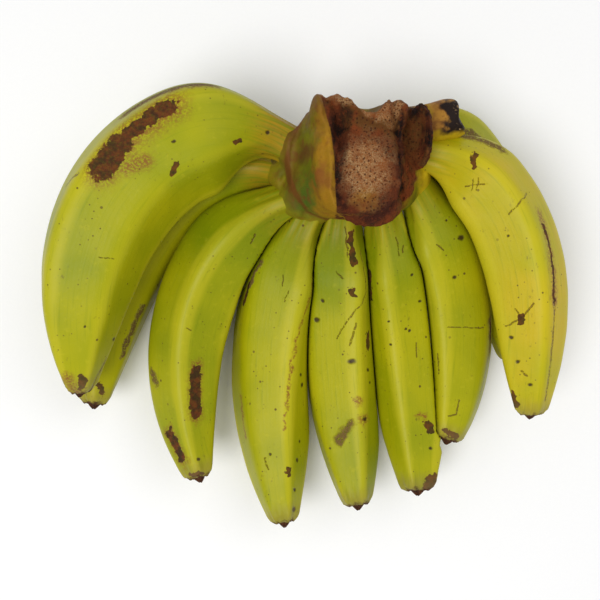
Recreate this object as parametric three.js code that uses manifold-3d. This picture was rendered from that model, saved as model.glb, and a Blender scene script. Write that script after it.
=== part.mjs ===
// A hand of nine green bananas joined at its crown, lying on the backs of its fingers.
// Millimetres, +Z up, origin at the middle of the base of its bounding box.
import * as THREE from "three";
import { mergeVertices } from "three/addons/utils/BufferGeometryUtils.js";
import Module from "manifold-3d";

const wasm = await Module();
wasm.setup();

// ---- Driving dimensions ----------------------------------------------------

const SEGMENTS = 20; // faces round a finger
const RINGS = 28; // rings along a finger
const STEPS = 120; // steps along a middle line
const PRESS_GAP = 0.8; // clearance kept where two fingers press on each other
const CROWN_GAP = 0.4; // clearance kept between the crown and what grows out of it
const TABLE = 4.8; // height of the surface that the hand lies on, before it is centred

const NECK_RADIUS = 8.5; // of the stalk that joins each finger to the crown
const NECK_END = 0.03; // share of a finger's length where its neck starts to swell
const FULL_FROM = 0.3; // share of the length where it has swollen to its full thickness
const TAPER_FROM = 0.42; // share of the length where it starts to thin towards the tip
const TAPER_POWER = 2.5;
const TIP_FROM = 0.975; // share of the length where the blunt tip starts to close
const TIP_CLOSE = 0.3; // how much thinner the very end is than the start of the tip
const FACES = 5; // flats round a banana
const FACE_SHARPNESS = 9; // higher is flatter, with sharper ridges between the flats

// Each finger: where its neck starts inside the crown, the heading there and at the tip as
// [azimuth from +X, pitch above the table] in degrees, the length along its middle, how much of
// the bend is near the neck, how thick it is across its bend and in the plane of its bend, the
// radius of its tip, and how far round its ridges are turned in degrees.
const FINGERS = [
  {
    start: [1, 71, 59], leave: [142, 12], arrive: [268, -8], length: 197, bend: 1.9,
    width: 46, depth: 48, tip: 5, roll: 20,
  },
  {
    start: [-3, 61, 50], leave: [148, -25], arrive: [263, 9], length: 188, bend: 1.9,
    width: 38, depth: 38, tip: 6, roll: 36,
  },
  {
    start: [2, 51, 54], leave: [188, -24], arrive: [286, 12], length: 174, bend: 1.5,
    width: 36, depth: 39, tip: 6, roll: 30,
  },
  {
    start: [9, 50, 52], leave: [236, -34], arrive: [279, 14], length: 174, bend: 1.6,
    width: 39, depth: 40, tip: 6, roll: 44,
  },
  {
    start: [22, 52, 53], leave: [263, -39], arrive: [278, 16], length: 165, bend: 1.5,
    width: 38, depth: 40, tip: 6.5, roll: 28,
  },
  {
    start: [39, 52, 52.5], leave: [287, -40], arrive: [273, 16], length: 159, bend: 1.5,
    width: 37, depth: 40, tip: 7.5, roll: 36,
  },
  {
    start: [52, 61, 56], leave: [315, -32], arrive: [256, 12], length: 146, bend: 1.25,
    width: 36, depth: 38, tip: 7, roll: 20,
  },
  {
    start: [49, 70, 61], leave: [12, -2], arrive: [271, -2], length: 160, bend: 2.7,
    width: 38, depth: 35, tip: 6.5, roll: 12,
  },
  {
    start: [45, 84, 48], leave: [30, -31], arrive: [275, 5], length: 160, bend: 2.6,
    width: 37, depth: 36, tip: 6, roll: 36,
  },
];

// The crown, from its underside up to the face where it was cut from the stem: at each level the
// height, the middle, the half widths in X and Y, and how far the level falls for each mm of +Y.
const CROWN_SEGMENTS = 24;
const CROWN_SQUARENESS = 3; // 2 gives oval levels, higher gives squarer ones
const CROWN_LEVELS = [
  { height: 27, middle: [27, 67], across: 15, along: 14, fall: 0 },
  { height: 34, middle: [27, 67], across: 25, along: 20, fall: 0 },
  { height: 46, middle: [26, 67], across: 32, along: 25, fall: 0 },
  { height: 60, middle: [26, 66], across: 33, along: 27, fall: 0 },
  { height: 70, middle: [26, 65], across: 27, along: 27, fall: 0.02 },
  { height: 81, middle: [25, 66], across: 21, along: 27, fall: 0.08 },
  { height: 90, middle: [26, 66], across: 19, along: 26, fall: 0.14 },
  { height: 93, middle: [28, 64], across: 15, along: 23, fall: 0.14 },
];

// Hollows left in the crown by the knife: middle and half sizes of the lump that was cut out.
const CROWN_HOLLOWS = [
  { middle: [58, 76, 90], size: [13, 19, 22] },
  { middle: [19, 82, 99], size: [7, 15, 14] },
  { middle: [31, 104, 88], size: [19, 15, 26] },
];

// The stump of a finger that was snapped off, as [start, end] of its middle with its radii.
const STUMP = { from: [50, 82, 62], to: [76, 89, 66], radii: [9, 8], segments: 14, rings: 5 };

const SKIN_COLOUR = 0xaab520;
const RIPE_SKIN_COLOUR = 0xc6b52c;
const RIPE_FINGERS = [7]; // counted from 0
const CROWN_COLOUR = 0x8a5a34;
const SKIN_ROUGHNESS = 0.5;
const CROWN_ROUGHNESS = 0.9;

// ---- Middle lines ----------------------------------------------------------

function direction([azimuth, pitch]) {
  const turn = THREE.MathUtils.degToRad(azimuth);
  const rise = THREE.MathUtils.degToRad(pitch);
  const level = Math.cos(rise);
  return new THREE.Vector3(level * Math.cos(turn), level * Math.sin(turn), Math.sin(rise));
}

// The middle line of a finger: its heading turns from the neck's to the tip's in one plane.
function middleLine({ start, leave, arrive, length, bend }) {
  const from = direction(leave);
  const to = direction(arrive);
  const side = from.clone().cross(to).normalize();
  const turn = from.angleTo(to);
  const at = new THREE.Vector3(...start);
  const line = [];
  for (let i = 0; i <= STEPS; i++) {
    const turned = turn * (1 - (1 - i / STEPS) ** bend);
    const heading = from.clone().applyAxisAngle(side, turned);
    if (i > 0) at.addScaledVector(heading, length / STEPS);
    line.push({ at: at.clone(), inward: side.clone().cross(heading), side });
  }
  return line;
}

const fullRadius = (finger) => (finger.width + finger.depth) / 4;

// Thickness at a share u of the length, as a share of the full thickness.
function girth(finger, u) {
  const neck = NECK_RADIUS / fullRadius(finger);
  const swell = neck + (1 - neck) * THREE.MathUtils.smootherstep(u, NECK_END, FULL_FROM);
  const along = Math.max(0, (u - TAPER_FROM) / (1 - TAPER_FROM));
  const taper = 1 - (1 - finger.tip / fullRadius(finger)) * along ** TAPER_POWER;
  const closing = Math.max(0, (u - TIP_FROM) / (1 - TIP_FROM));
  return swell * taper * (1 - TIP_CLOSE * closing ** 2);
}

// ---- Where fingers press on each other and on the table ---------------------

function nearest(finger, point) {
  let best = Infinity;
  let index = 0;
  finger.line.forEach(({ at }, i) => {
    const squared = at.distanceToSquared(point);
    if (squared < best) {
      best = squared;
      index = i;
    }
  });
  const u = index / STEPS;
  return { distance: Math.sqrt(best), radius: girth(finger, u) * fullRadius(finger) };
}

// How far a point is through the wall between two fingers, on the neighbour's side of it.
function past(finger, other, point) {
  const own = nearest(finger, point);
  const its = nearest(other, point);
  const through = own.distance * its.radius - its.distance * own.radius;
  return through / (own.radius + its.radius) + PRESS_GAP / 2;
}

// The share of the way from the middle line to the skin that is left by neighbours and the table.
function reach(finger, from, offset) {
  const point = from.clone().add(offset);
  let most = point.z < TABLE ? (from.z - TABLE) / (from.z - point.z) : 1;
  for (const other of FINGERS) {
    if (other === finger || past(finger, other, point) <= 0) continue;
    let low = 0;
    let high = 1;
    for (let halving = 0; halving < 12; halving++) {
      const middle = (low + high) / 2;
      const pressed = past(finger, other, from.clone().addScaledVector(offset, middle)) > 0;
      if (pressed) high = middle;
      else low = middle;
    }
    most = Math.min(most, low);
  }
  return most;
}

// ---- Solids ----------------------------------------------------------------

// Radius of a rounded regular polygon at an angle, 1 at the middle of each flat.
function flats(angle) {
  let sum = 0;
  for (let i = 0; i < FACES; i++) {
    const towards = Math.cos(angle - (i * 2 * Math.PI) / FACES);
    if (towards > 0) sum += towards ** FACE_SHARPNESS;
  }
  return sum ** (-1 / FACE_SHARPNESS);
}

// A closed lathe of radius 1 with its rings at the given shares of its height, 0 to 1.
function drum(shares, segments) {
  const profile = shares.map((share) => new THREE.Vector2(1, share));
  const last = shares.length - 1;
  profile.unshift(new THREE.Vector2(0, shares[0]));
  profile.push(new THREE.Vector2(0, shares[last]));
  return new THREE.LatheGeometry(profile, segments);
}

// Moves every point of a geometry to where place(x, y, z) says.
function reshape(geometry, place) {
  const position = geometry.getAttribute("position");
  const point = new THREE.Vector3();
  for (let i = 0; i < position.count; i++) {
    point.fromBufferAttribute(position, i);
    position.setXYZ(i, ...place(point));
  }
  return geometry;
}

function fingerGeometry(finger, grow = 0) {
  const shares = Array.from({ length: RINGS }, (_, i) => (i * TIP_FROM) / (RINGS - 1));
  const roll = THREE.MathUtils.degToRad(finger.roll);
  return reshape(drum([...shares, 1], SEGMENTS), (point) => {
    const station = finger.line[Math.round(point.y * STEPS)];
    if (Math.hypot(point.x, point.z) === 0) return station.at;
    const angle = Math.atan2(point.x, point.z);
    const size = (girth(finger, point.y) * flats(angle - roll)) / 2;
    const offset = station.side.clone().multiplyScalar(size * Math.sin(angle) * finger.width);
    offset.addScaledVector(station.inward, size * Math.cos(angle) * finger.depth);
    const share = grow ? 1 + grow / offset.length() : reach(finger, station.at, offset);
    return station.at.clone().addScaledVector(offset, share);
  });
}

// How far a point on a circle moves out to lie on a rounded square.
function squared({ x, z }, power) {
  const sum = Math.abs(x) ** power + Math.abs(z) ** power;
  return sum > 0 ? (x * x + z * z) ** 0.5 / sum ** (1 / power) : 1;
}

function crownGeometry(grow = 0) {
  const last = CROWN_LEVELS.length - 1;
  const shares = CROWN_LEVELS.map((_, i) => i / last);
  return reshape(drum(shares, CROWN_SEGMENTS), (point) => {
    const index = Math.round(point.y * last);
    const { height, middle, across, along, fall } = CROWN_LEVELS[index];
    const ends = index === 0 ? -grow : index === last ? grow : 0;
    const square = squared(point, CROWN_SQUARENESS);
    const rise = point.x * square * (along + grow);
    return new THREE.Vector3(
      middle[0] + point.z * square * (across + grow),
      middle[1] + rise,
      height + ends - rise * fall,
    );
  });
}

function hollowGeometry({ middle, size }) {
  return new THREE.SphereGeometry(1, 16, 12).scale(...size).translate(...middle);
}

function stumpGeometry({ from, to, radii, segments, rings }) {
  const start = new THREE.Vector3(...from);
  const axis = new THREE.Vector3(...to).sub(start);
  const shares = Array.from({ length: rings }, (_, i) => i / (rings - 1));
  const geometry = reshape(drum(shares, segments), (point) => {
    const radius = THREE.MathUtils.lerp(...radii, point.y);
    return new THREE.Vector3(point.x * radius, point.y * axis.length(), point.z * radius);
  });
  const upright = new THREE.Vector3(0, 1, 0);
  const turn = new THREE.Quaternion().setFromUnitVectors(upright, axis.clone().normalize());
  return geometry.applyQuaternion(turn).translate(...from);
}

// ---- Joining and cutting ---------------------------------------------------

function solid(geometry) {
  geometry.deleteAttribute("normal");
  geometry.deleteAttribute("uv");
  const merged = mergeVertices(geometry);
  return new wasm.Manifold(
    new wasm.Mesh({
      numProp: 3,
      vertProperties: new Float32Array(merged.getAttribute("position").array),
      triVerts: new Uint32Array(merged.index.array),
    }),
  );
}

function meshOf(body, name, color, roughness) {
  const { vertProperties, triVerts } = body.getMesh();
  const geometry = new THREE.BufferGeometry();
  geometry.setAttribute("position", new THREE.BufferAttribute(vertProperties, 3));
  geometry.setIndex(new THREE.BufferAttribute(triVerts, 1));
  geometry.computeVertexNormals();
  const mesh = new THREE.Mesh(
    geometry,
    new THREE.MeshStandardMaterial({ color, roughness, metalness: 0 }),
  );
  mesh.name = name;
  return mesh;
}

// ---- The hand --------------------------------------------------------------

for (const finger of FINGERS) finger.line = middleLine(finger);

const hand = new THREE.Group();

const crownWithRoom = solid(crownGeometry(CROWN_GAP));
FINGERS.forEach((finger, i) => {
  const body = solid(fingerGeometry(finger)).subtract(crownWithRoom);
  const colour = RIPE_FINGERS.includes(i) ? RIPE_SKIN_COLOUR : SKIN_COLOUR;
  hand.add(meshOf(body, `finger_${i + 1}`, colour, SKIN_ROUGHNESS));
});

let stump = solid(stumpGeometry(STUMP));
for (const finger of FINGERS) stump = stump.subtract(solid(fingerGeometry(finger, CROWN_GAP)));
let crown = solid(crownGeometry()).add(stump);
for (const hollow of CROWN_HOLLOWS) crown = crown.subtract(solid(hollowGeometry(hollow)));
hand.add(meshOf(crown, "crown", CROWN_COLOUR, CROWN_ROUGHNESS));

const box = new THREE.Box3().setFromObject(hand);
const middle = box.getCenter(new THREE.Vector3());
hand.position.set(-middle.x, -middle.y, -box.min.z);

export default hand;
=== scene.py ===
"""A hand of green bananas: the skins, necks, tips and the cut crown, with their finishes."""

import math

import bpy
import numpy as np
from bpy.props import (
    FloatProperty,
    FloatVectorProperty,
    IntProperty,
    PointerProperty,
)
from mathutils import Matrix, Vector


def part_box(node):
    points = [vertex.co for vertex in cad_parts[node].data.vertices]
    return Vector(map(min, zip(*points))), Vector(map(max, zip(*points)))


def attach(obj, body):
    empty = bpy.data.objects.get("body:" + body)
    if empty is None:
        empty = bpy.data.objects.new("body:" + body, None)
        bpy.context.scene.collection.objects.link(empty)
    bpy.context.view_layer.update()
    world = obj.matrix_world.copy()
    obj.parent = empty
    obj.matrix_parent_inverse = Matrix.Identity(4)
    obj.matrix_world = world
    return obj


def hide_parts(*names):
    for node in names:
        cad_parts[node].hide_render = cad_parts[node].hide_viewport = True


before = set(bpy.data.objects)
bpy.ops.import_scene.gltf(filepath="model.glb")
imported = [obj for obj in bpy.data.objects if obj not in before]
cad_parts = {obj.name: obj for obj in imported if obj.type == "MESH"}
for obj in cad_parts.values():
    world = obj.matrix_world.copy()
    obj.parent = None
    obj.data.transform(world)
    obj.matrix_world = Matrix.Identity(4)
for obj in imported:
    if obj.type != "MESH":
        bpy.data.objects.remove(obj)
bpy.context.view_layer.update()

bl_info = {
    "name": "Hand of Bananas",
    "version": (1, 0, 0),
    "blender": (4, 5, 0),
    "location": "View3D > Sidebar > Bananas",
    "description": "Builds a hand of green bananas on its crown, with grown skins and a cut stalk",
    "category": "Add Mesh",
}

MM = 0.001

# The working frame is in millimetres. Its zero lies where the lowest corner of the crown is at
# these coordinates, and WORK_ORIGIN is that zero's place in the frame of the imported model.
CROWN_CORNER = np.array([-7.0, 38.0, 27.0])
WORK_ORIGIN = np.array(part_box("crown")[0]) / MM - CROWN_CORNER
TABLE = -WORK_ORIGIN[2]

STEPS = 160  # steps along a finger's middle line
RINGS = 200  # rings of points along a finger
AROUND = 112  # points round a finger
PRESS_GAP = 0.5  # mm left where two fingers press on each other

# Each finger as it grew: where its neck starts in the crown, the heading there and at the tip as
# (azimuth, pitch) in degrees, its length, how much of the bend is near the neck, its thickness
# across the bend and in the plane of the bend, its tip's radius, and how far its ridges are turned.
FINGERS = [
    dict(start=(1, 71, 59), leave=(142, 12), arrive=(268, -8), length=197, bend=1.9,
         width=46, depth=48, tip=5, roll=20),
    dict(start=(-3, 61, 50), leave=(148, -25), arrive=(263, 9), length=188, bend=1.9,
         width=38, depth=38, tip=6, roll=36),
    dict(start=(2, 51, 54), leave=(188, -24), arrive=(286, 12), length=174, bend=1.5,
         width=36, depth=39, tip=6, roll=30),
    dict(start=(9, 50, 52), leave=(236, -34), arrive=(279, 14), length=174, bend=1.6,
         width=39, depth=40, tip=6, roll=44),
    dict(start=(22, 52, 53), leave=(263, -39), arrive=(278, 16), length=165, bend=1.5,
         width=38, depth=40, tip=6.5, roll=28),
    dict(start=(39, 52, 52.5), leave=(287, -40), arrive=(273, 16), length=159, bend=1.5,
         width=37, depth=40, tip=7.5, roll=36),
    dict(start=(52, 61, 56), leave=(315, -32), arrive=(256, 12), length=146, bend=1.25,
         width=36, depth=38, tip=7, roll=20),
    dict(start=(49, 70, 61), leave=(12, -2), arrive=(271, -2), length=160, bend=2.7,
         width=38, depth=35, tip=6.5, roll=12),
    dict(start=(45, 84, 48), leave=(30, -31), arrive=(275, 5), length=160, bend=2.6,
         width=37, depth=36, tip=6, roll=36),
]

NECK_RADIUS = 8.5
NECK_END = 0.03
FULL_FROM = 0.3
TAPER_FROM = 0.42
TAPER_POWER = 2.5
TIP_FROM = 0.975
TIP_CLOSE = 0.3
TIP_STUB = 2.2  # mm that the dry stub stands out of the tip
FACES = 5
FACE_SHARPNESS = 9

# ---- Numbers over many points at once ---------------------------------------


def smooth(x):
    x = np.clip(x, 0, 1)
    return x * x * (3 - 2 * x)


def smoother(x):
    x = np.clip(x, 0, 1)
    return x**3 * (x * (6 * x - 15) + 10)


def unit(vectors):
    return vectors / np.maximum(np.linalg.norm(vectors, axis=-1, keepdims=True), 1e-9)


def heading(azimuth, pitch):
    turn, rise = math.radians(azimuth), math.radians(pitch)
    level = math.cos(rise)
    return np.array([level * math.cos(turn), level * math.sin(turn), math.sin(rise)])


def lumps(points, size, seed, waves=9):
    """Smooth random lumps of about this size in mm, between -1 and 1."""
    random = np.random.default_rng(seed)
    total = np.zeros(len(points))
    for _ in range(waves):
        direction = unit(random.normal(size=3))
        stretch = random.uniform(0.6, 1.5)
        phase = random.uniform(0, 2 * math.pi)
        total += np.sin(points @ direction * (2 * math.pi * stretch / size) + phase)
    return total / math.sqrt(waves * 2)


def near_path(points, path):
    """How far each point is, seen from above, from a line through the points of path."""
    best = np.full(len(points), 1e9)
    for a, b in zip(path[:-1], path[1:]):
        a, b = np.array(a, float), np.array(b, float)
        along = np.clip((points[:, :2] - a) @ (b - a) / ((b - a) @ (b - a)), 0, 1)
        foot = a + along[:, None] * (b - a)
        best = np.minimum(best, np.linalg.norm(points[:, :2] - foot, axis=1))
    return best


# ---- Middle lines, thickness and pressing -----------------------------------


class Finger:
    """One banana's middle line and thickness, in the working frame."""

    def __init__(self, number, facts):
        self.number = number
        self.facts = facts
        self.full = (facts["width"] + facts["depth"]) / 4
        begin, end = heading(*facts["leave"]), heading(*facts["arrive"])
        self.side = unit(np.cross(begin, end))
        turn = math.acos(float(begin @ end))
        share = np.linspace(0, 1, STEPS + 1)
        turned = (turn * (1 - (1 - share) ** facts["bend"]))[:, None]
        sideways = np.cross(self.side, begin)
        self.heads = begin * np.cos(turned) + sideways * np.sin(turned)
        steps = self.heads * facts["length"] / STEPS
        steps[0] = 0
        self.line = np.array(facts["start"], float) + np.cumsum(steps, axis=0)

    def girth(self, share):
        """Thickness there as a share of the full thickness."""
        neck = NECK_RADIUS / self.full
        swell = neck + (1 - neck) * smoother((share - NECK_END) / (FULL_FROM - NECK_END))
        along = np.clip((share - TAPER_FROM) / (1 - TAPER_FROM), 0, None)
        taper = 1 - (1 - self.facts["tip"] / self.full) * along**TAPER_POWER
        closing = np.clip((share - TIP_FROM) / (1 - TIP_FROM), 0, None)
        return swell * taper * (1 - TIP_CLOSE * closing**2)

    def at(self, share):
        """Middle, heading and inward direction at each share of the length."""
        place = np.clip(share, 0, 1) * STEPS
        low = np.minimum(place.astype(int), STEPS - 1)
        part = (place - low)[:, None]
        middle = self.line[low] * (1 - part) + self.line[low + 1] * part
        head = unit(self.heads[low] * (1 - part) + self.heads[low + 1] * part)
        return middle, head, np.cross(self.side, head)

    def nearest(self, points):
        """Distance to the middle line, and the finger's radius there."""
        squares = (points**2).sum(1)[:, None] + (self.line**2).sum(1)[None, :]
        squares = squares - 2 * points @ self.line.T
        index = squares.argmin(1)
        distance = np.sqrt(np.maximum(squares[np.arange(len(points)), index], 0))
        return distance, self.girth(index / STEPS) * self.full


def past(finger, other, points):
    """How far points are through the wall between two fingers that press on each other."""
    own, own_radius = finger.nearest(points)
    its, its_radius = other.nearest(points)
    through = own * its_radius - its * own_radius
    return through / (own_radius + its_radius) + PRESS_GAP / 2


def pressed(finger, others, middles, offsets):
    """The share of each offset that the neighbours and the table leave, with soft edges."""
    looked = 1.3
    most = np.full(len(middles), looked)
    drop = -offsets[:, 2]
    sinking = drop > 1e-6
    most[sinking] = np.minimum(most[sinking], (middles[sinking, 2] - TABLE) / drop[sinking])
    for other in others:
        index = np.flatnonzero(past(finger, other, middles + looked * offsets) > 0)
        if not len(index):
            continue
        low, high = np.zeros(len(index)), np.full(len(index), looked)
        for _ in range(11):
            half = (low + high) / 2
            through = past(finger, other, middles[index] + half[:, None] * offsets[index]) > 0
            high = np.where(through, half, high)
            low = np.where(through, low, half)
        most[index] = np.minimum(most[index], low)
    blend = 0.09
    mix = np.clip(0.5 + 0.5 * (most - 1) / blend, 0, 1)
    return most * (1 - mix) + mix - blend * mix * (1 - mix)


# ---- Meshes -----------------------------------------------------------------


def grid_faces(rings, around, start=0):
    """Quads between rings of points that close round on themselves."""
    ring, point = np.meshgrid(np.arange(rings - 1), np.arange(around), indexing="ij")
    following = (point + 1) % around
    corners = [ring * around + point, ring * around + following]
    corners += [(ring + 1) * around + following, (ring + 1) * around + point]
    return start + np.stack([c.ravel() for c in corners], axis=1)


def make_object(name, points, faces):
    """A smooth-shaded mesh object from points in the working frame."""
    mesh = bpy.data.meshes.new(name)
    mesh.from_pydata(((points + WORK_ORIGIN) * MM).tolist(), [], faces)
    mesh.validate()
    mesh.shade_smooth()
    piece = bpy.data.objects.new(name, mesh)
    bpy.context.scene.collection.objects.link(piece)
    return piece


def store(piece, name, values):
    """Keeps a number or a vector for every point of a mesh, for its finish to read."""
    vector = np.ndim(values) == 2
    layer = piece.data.attributes.new(name, "FLOAT_VECTOR" if vector else "FLOAT", "POINT")
    field = "vector" if vector else "value"
    layer.data.foreach_set(field, np.asarray(values, np.float32).ravel())


def finish_piece(piece, node, material):
    piece.data.materials.append(material)
    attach(piece, "root")
    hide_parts(node)


# ---- Fingers ----------------------------------------------------------------


def ridges(finger, angle, share):
    """Distance from the middle to the skin at an angle, 1 on the flats, and the nearness to a ridge."""
    random = np.random.default_rng(100 + finger.number)
    roll = math.radians(finger.facts["roll"])
    total = np.zeros_like(angle)
    for i in range(FACES):
        drift = math.radians(random.uniform(-7, 7))
        sway = math.radians(random.uniform(2, 5)) * np.sin(share * random.uniform(3, 6) + i)
        towards = np.cos(angle - roll - drift - sway - i * 2 * math.pi / FACES)
        total += np.where(towards > 0, np.abs(towards) ** FACE_SHARPNESS, 0)
    out = total ** (-1 / FACE_SHARPNESS)
    return out, np.clip((out - 1) / 0.14, 0, 1.2)


def finger_rings():
    """Shares of the length for each ring, and how far in from the skin the ring lies."""
    body = np.linspace(0, 1, RINGS)
    body = body + 0.012 * np.sin(body * math.pi) * np.sin(body * 2 * math.pi)
    ends = np.linspace(0.1, 0.9, 9)
    shares = np.concatenate([body, np.ones(len(ends))])
    inset = np.concatenate([np.zeros(RINGS), ends])
    return shares, inset


def build_finger(finger, others):
    shares, inset = finger_rings()
    angles = np.arange(AROUND) * 2 * math.pi / AROUND
    share = np.repeat(shares, AROUND)
    into = np.repeat(inset, AROUND)
    angle = np.tile(angles, len(shares))
    middle, head, inward = finger.at(share)
    out, ridge = ridges(finger, angle, share)
    seed = 10 * finger.number

    # The skin: flats and ridges, slow swellings, and a puckered neck and tip.
    spot = np.stack([share * finger.facts["length"], 20 * np.cos(angle), 20 * np.sin(angle)], 1)
    neck = 1 - smooth((share - 0.04) / 0.16)
    tip = smooth((share - 0.93) / 0.06)
    size = finger.girth(share) * (1 + (out - 1) * (1 - 0.35 * neck))
    size = size * (1 + 0.010 * lumps(spot, 55, seed + 1) + 0.004 * lumps(spot, 17, seed + 2))
    folds = np.cos(angle * 9 + 2 * np.sin(angle * 2 + finger.number))
    size = size * (1 + 0.030 * folds * neck + 0.035 * folds * tip)
    flare = np.exp(-(((share - 0.992) / 0.006) ** 2))
    size = size * (1 + 0.04 * flare * (1 + lumps(spot, 7, seed + 3)))
    across = np.sin(angle) * size * finger.facts["width"] / 2
    deep = np.cos(angle) * size * finger.facts["depth"] / 2
    offset = finger.side * across[:, None] + inward * deep[:, None]
    left = pressed(finger, others, middle, offset)
    offset = offset * left[:, None]

    # The blossom end: a ragged scar with a stub in its middle.
    inner = 1 - into
    bulge = TIP_STUB * np.exp(-((inner / 0.42) ** 2)) - 0.9 * np.exp(-(((inner - 0.72) / 0.18) ** 2))
    rough = lumps(middle + offset * 3, 8, seed + 4) + lumps(middle + offset * 3, 3.5, seed + 5)
    bulge = np.where(into > 0, bulge + 0.4 * rough, 0.25 * rough * tip)
    points = middle + offset * inner[:, None] + head * bulge[:, None]

    faces = grid_faces(len(shares), AROUND).tolist()
    first, last = len(points), len(points) + 1
    tail = points[-AROUND:].mean(0) + head[-1] * 0.3
    points = np.vstack([points, middle[0], tail])
    end = (len(shares) - 1) * AROUND
    for i in range(AROUND):
        following = (i + 1) % AROUND
        faces.append([following, i, first])
        faces.append([end + i, end + following, last])

    piece = make_object(f"banana_{finger.number}", points, faces)

    # Where each point is on the skin, for the finish: mm along, degrees round from the top.
    top = unit(np.array([0, 0, 1.0]) - head * head[:, 2:3])
    right = np.cross(head, top)
    round_top = np.degrees(np.arctan2(-(offset * right).sum(1), (offset * top).sum(1)))
    skin = np.stack([share * finger.facts["length"], round_top, finger.girth(share) * finger.full], 1)
    # bands: share of the length, nearness to a ridge, and how far a neighbour presses the point in; the
    # peel uses the last as painted shade between fingers.
    bands = np.stack([share + 0.02 * into, ridge, 1 - smooth((left - 0.9) / 0.12)], 1)
    store(piece, "skin", np.vstack([skin, skin[0], skin[-1]]))
    store(piece, "bands", np.vstack([bands, bands[0], bands[-1]]))
    return piece


# ---- Crown ------------------------------------------------------------------

# The crown's levels from its underside up: height, middle, half widths, and fall for each mm of +Y.
CROWN_LEVELS = [
    (27, (27, 67), 11, 10, 0.0),
    (30, (27, 67), 19, 16, 0.0),
    (36, (27, 67), 27, 22, 0.0),
    (46, (26, 67), 32, 25, 0.0),
    (60, (26, 66), 33, 27, 0.0),
    (70, (26, 65), 28, 28, 0.02),
    (81, (25, 65.5), 21.5, 28, 0.08),
    (90, (26, 65), 19, 28, 0.14),
    (93, (27, 64), 17, 26.5, 0.14),
    (94, (28, 63), 13, 22, 0.14),
]
CROWN_SQUARENESS = 3.0

# Lumps that stand out of the block, and bites taken out of it by the knife and by tearing:
# middle and half sizes.
CROWN_LUMPS = [
    ((31, 42.5, 85), (14.5, 10, 8.5)),
    ((8.5, 84, 78), (4.5, 8.5, 16)),
    ((44, 83, 78), (5, 7.5, 15)),
    ((55, 75, 75), (5, 15, 15)),
]
CROWN_BITES = [
    ((31, 105, 86), (11.5, 23, 34)),
    ((22, 103, 90), (10, 14, 34)),
    ((-9, 97, 72), (13.5, 19, 44)),
    ((18, 77, 100), (5.2, 14, 13)),
    ((51.5, 72, 93), (5.8, 17, 17)),
]

# What drying and handling did to it, seen from above: each stroke's path, its half width, and how
# far it lifts (+) or sinks (-) the surface, in mm.
COLLAR_PATH = [(5, 93), (-1, 80), (-5, 74), (-6, 64), (-5, 57), (-2, 50), (3, 44), (9, 41), (17, 39)]
CROWN_STROKES = [
    ("lip", [(6.5, 94), (8.7, 85), (11.8, 74), (13.4, 61), (13, 48), (15, 40)], 1.7, 2.4),
    ("dark scoop", [(14, 88), (16.5, 80), (17.5, 71), (16.5, 56), (17, 45)], 1.8, -2.4),
    ("top rim", [(11, 92), (17, 88), (24, 84), (31, 81), (39, 80)], 1.6, 1.6),
    ("rust dip", [(22, 76), (30, 74), (38, 76)], 5.0, -2.2),
    ("right groove", [(42, 88), (42.5, 75), (44, 62), (46, 50), (47, 43)], 1.3, -3.6),
    ("hollow lip", [(46.5, 86), (45.8, 74), (47, 60)], 1.0, 1.6),
    ("right border", [(51, 89), (56.5, 84), (58.5, 76), (58, 66), (55, 57)], 1.5, 2.2),
    ("collar", COLLAR_PATH, 1.2, 1.3),
]


def squared(angle, power):
    total = np.abs(np.cos(angle)) ** power + np.abs(np.sin(angle)) ** power
    return total ** (-1 / power)


def tube(middles, heads, radii, around=40):
    """A closed tube through points, with a radius at each."""
    sideways = unit(np.cross(heads, np.array([0.1, 0.2, 1.0])))
    upward = np.cross(sideways, heads)
    angle = np.arange(around) * 2 * math.pi / around
    wheel = np.cos(angle)[None, :, None] * sideways[:, None, :]
    wheel = wheel + np.sin(angle)[None, :, None] * upward[:, None, :]
    points = middles[:, None, :] + wheel * radii[:, None, None]
    rings = len(middles)
    faces = grid_faces(rings, around).tolist()
    faces.append(list(range(around))[::-1])
    faces.append(list(range((rings - 1) * around, rings * around)))
    return points.reshape(-1, 3), faces


def crown_block():
    angle = np.arange(96) * 2 * math.pi / 96
    square = squared(angle, CROWN_SQUARENESS)
    points = []
    for height, middle, across, along, fall in CROWN_LEVELS:
        x = middle[0] + across * square * np.cos(angle)
        rise = along * square * np.sin(angle)
        points.append(np.stack([x, middle[1] + rise, height - rise * fall], axis=1))
    faces = grid_faces(len(points), len(angle)).tolist()
    faces.append(list(range(len(angle)))[::-1])
    top = (len(points) - 1) * len(angle)
    faces.append(list(range(top, top + len(angle))))
    return np.vstack(points), faces


def crown_collar(finger):
    """The stalk of one finger where it grows out of the crown."""
    shares = np.linspace(0.0, 0.085, 12)
    middles, heads, _ = finger.at(shares)
    radii = finger.girth(shares) * finger.full + 3.4 - 6.5 * (shares / 0.085) ** 1.5
    return tube(middles, heads, radii)


def ball(middle, size):
    """A closed oval lump."""
    share = np.linspace(0.02, 0.98, 20) * math.pi
    angle = np.arange(40) * 2 * math.pi / 40
    level = np.stack([np.outer(np.sin(share), np.cos(angle)), np.outer(np.sin(share), np.sin(angle))])
    height = np.repeat(-np.cos(share)[:, None], len(angle), axis=1)
    points = np.stack([level[0], level[1], height], axis=2).reshape(-1, 3)
    faces = grid_faces(len(share), len(angle)).tolist()
    faces.append(list(range(len(angle)))[::-1])
    last = (len(share) - 1) * len(angle)
    faces.append(list(range(last, last + len(angle))))
    return points * np.array(size) + np.array(middle), faces


def bitten(points):
    """Points inside a bite are pushed out to its wall."""
    for middle, size in CROWN_BITES:
        away = (points - np.array(middle)) / np.array(size)
        distance = np.linalg.norm(away, axis=1)
        inside = distance < 1
        wall = away[inside] / np.maximum(distance[inside], 1e-3)[:, None]
        points[inside] = wall * np.array(size) + np.array(middle)
    return points


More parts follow.
